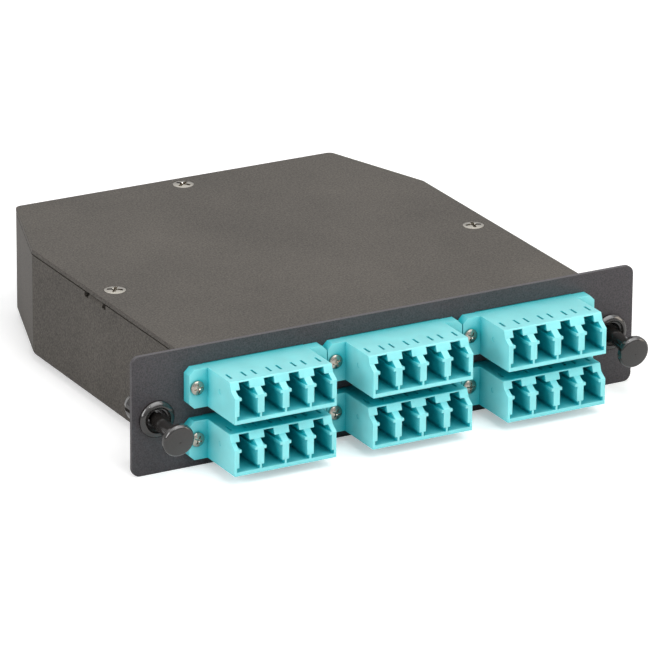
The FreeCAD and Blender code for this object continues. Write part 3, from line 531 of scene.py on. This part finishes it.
def screw_values(sizes, facing, seed, finish):
    """What goes into the tree's inputs, with the sizes in metres."""
    values = {name: value * mm for name, value in sizes.items()}
    return {**values, "Facing": facing, "Seed": seed, "Finish": finish}


front_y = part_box("front_panel")[0].y - flange_thickness
ear_places = [(middle(pair, 0), front_y, middle(pair, 2)) for pair in screw_boxes["adapter_screws"]]
ear_screws = grown("ear_screw_set", screw_tree, ear_places, frame_body,
                   screw_values(ear_screw, to_the_front, 4, nickel))
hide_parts("adapter_screws")
lid_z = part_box("lid")[1].z - lid_seat_depth
lid_places = [(middle(pair, 0), middle(pair, 1), lid_z) for pair in screw_boxes["lid_screws"]]
lid_screws = grown("lid_screw_set", screw_tree, lid_places, frame_body,
                   screw_values(lid_screw, upwards, 11, nickel))
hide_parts("lid_screws")
rear_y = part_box("trunk_screws")[1].y - rear_screw["Head Height"] * mm
rear_places = [(middle(pair, 0), rear_y, middle(pair, 2)) for pair in screw_boxes["trunk_screws"]]
rear_screws = grown("rear_screw_set", screw_tree, rear_places, frame_body,
                    screw_values(rear_screw, to_the_rear, 7, zinc))
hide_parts("trunk_screws")
print("screws made:", len(ear_places), len(lid_places), len(rear_places))

# %% [markdown]
# The studio is a white table that runs far past the view. The table gives off some light that
# only the camera sees, so it looks white and still takes the contact shadow. That light grows
# with the distance from the cassette, so the far table is plain white.

# %% Table
low_corner, high_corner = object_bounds()
table_reach, table_z = 4.0, low_corner.z
paper_spot, paper_dark, paper_light = 0.3, grey(0.89), grey(0.91)
near, far, near_light, far_light = 0.25, 1.2, 0.37, 1.0
floor_mesh = bpy.data.meshes.new("floor")
floor_mesh.from_pydata([(-table_reach, -table_reach, table_z), (table_reach, -table_reach, table_z),
                        (table_reach, table_reach, table_z), (-table_reach, table_reach, table_z)],
                       [], [(0, 1, 2, 3)])
floor = bpy.data.objects.new("floor", floor_mesh)
bpy.context.scene.collection.objects.link(floor)
paper, tree, principled, place = shader("white_table", Roughness=0.9, Emission_Color=grey(1))
paper_tone = ramp(tree, noise(tree, place, paper_spot), paper_dark, paper_light, 0.3, 0.7)
tree.links.new(paper_tone, principled.inputs["Base Color"])
to_camera = tree.nodes.new("ShaderNodeLightPath").outputs["Is Camera Ray"]
afar = step(tree, "ShaderNodeVectorMath", {0: place}, operation="LENGTH").node.outputs["Value"]
light = step(tree, "ShaderNodeMapRange",
             {"From Min": near, "From Max": far, "To Min": near_light, "To Max": far_light,
              "Value": afar})
light = step(tree, "ShaderNodeMapRange", {"To Max": light, "Value": to_camera})
tree.links.new(light, principled.inputs["Emission Strength"])
floor_mesh.materials.append(paper)
print("table at", round(table_z / mm, 2), "mm")

# %% [markdown]
# The world is white to the camera and only a weak, even fill for matt surfaces. Reflections see
# a dome that is brightest straight up, as under a large overhead softbox. That gives flat metal
# and polished plastic a gradient, where an even world would leave them flat.

# %% World
fill_level, dome_level, dome_gain, dome_falloff = 0.25, 0.65, 3.4, 3.0
world = bpy.data.worlds.new("studio")
bpy.context.scene.world = world
world.use_nodes = True
air = world.node_tree
background = air.nodes["Background"]
rays = air.nodes.new("ShaderNodeLightPath").outputs
mirrored = sums(air, "MAXIMUM", rays["Is Camera Ray"], rays["Is Glossy Ray"])
mirrored = sums(air, "MAXIMUM", mirrored, rays["Is Transmission Ray"])
direction = air.nodes.new("ShaderNodeTexCoord").outputs["Object"]
height = step(air, "ShaderNodeSeparateXYZ", {0: direction}).node.outputs["Z"]
height = step(air, "ShaderNodeClamp", {"Value": height})
dome = sums(air, "MULTIPLY_ADD", sums(air, "POWER", height, dome_falloff), dome_gain, dome_level)
level = step(air, "ShaderNodeMapRange", {"Value": mirrored, "To Min": fill_level, "To Max": dome})
level = step(air, "ShaderNodeMapRange", {"Value": rays["Is Camera Ray"], "To Min": level, "To Max": 1.0})
air.links.new(level, background.inputs["Strength"])
background.inputs["Color"].default_value = grey(1)
print("world:", world.name, "with", len(air.nodes), "nodes")

# %% [markdown]
# Five soft lamps shape the piece. Two wide ones, on the left and high in front, do most of the
# work. A warm one on the right lifts the far end of the panel, a weak one overhead gives the
# contact shadow a core, and a small one in front puts points of light on the screws.

# %% Lamps
centre = (low_corner + high_corner) / 2
warm = (1.0, 0.88, 0.74)


def soft_lamp(name, place, side, power, colour=(1, 1, 1)):
    """Square lamp that looks at the middle of the cassette."""
    lamp = bpy.data.lights.new(name, "AREA")
    lamp.shape = "SQUARE"
    lamp.size = side
    lamp.energy = power
    lamp.color = colour
    holder = bpy.data.objects.new(name, lamp)
    holder.location = place
    holder.rotation_euler = (centre - Vector(place)).to_track_quat("-Z", "Y").to_euler()
    bpy.context.scene.collection.objects.link(holder)
    return holder


lamps = [
    soft_lamp("overhead", (0.0, 0.05, 0.8), side=0.2, power=1.0),
    soft_lamp("left_side", (-0.95, -0.25, 0.45), side=0.6, power=7.0),
    soft_lamp("front_high", (0.25, -0.65, 0.8), side=0.9, power=7.2),
    soft_lamp("sparkle", (-0.35, -0.75, 0.9), side=0.09, power=0.6),
    soft_lamp("right_side", (0.9, -0.45, 0.3), side=0.5, power=3.2, colour=warm),
]
print("lamps:", [lamp.name for lamp in lamps])

# %% [markdown]
# The camera stands far back with a long lens, which keeps the panel's edges almost parallel.
# It looks from the front left and from above.

# %% Camera
camera_data = bpy.data.cameras.new("camera")
camera = bpy.data.objects.new("camera", camera_data)
bpy.context.scene.collection.objects.link(camera)
azimuth, elevation, roll = math.radians(-28.77), math.radians(20.80), math.radians(0.42)
distance = 1.387
target = Vector((-0.9, 29.0, 0.9)) * mm
back = Vector((math.sin(azimuth) * math.cos(elevation), -math.cos(azimuth) * math.cos(elevation),
               math.sin(elevation)))
camera.location = target + back * distance
camera.rotation_mode = "QUATERNION"
look = (-back).to_track_quat("-Z", "Y")
look.rotate(Quaternion(back, roll))
camera.rotation_quaternion = look
camera_data.sensor_width = 36
camera_data.lens = 333.7
camera_data.shift_x, camera_data.shift_y = 0.0074, 0.0069
camera_data.clip_start, camera_data.clip_end = 0.1, 20
bpy.context.scene.camera = camera
bpy.context.scene.view_settings.view_transform = "Standard"
print("camera at", [round(part, 3) for part in camera.location])
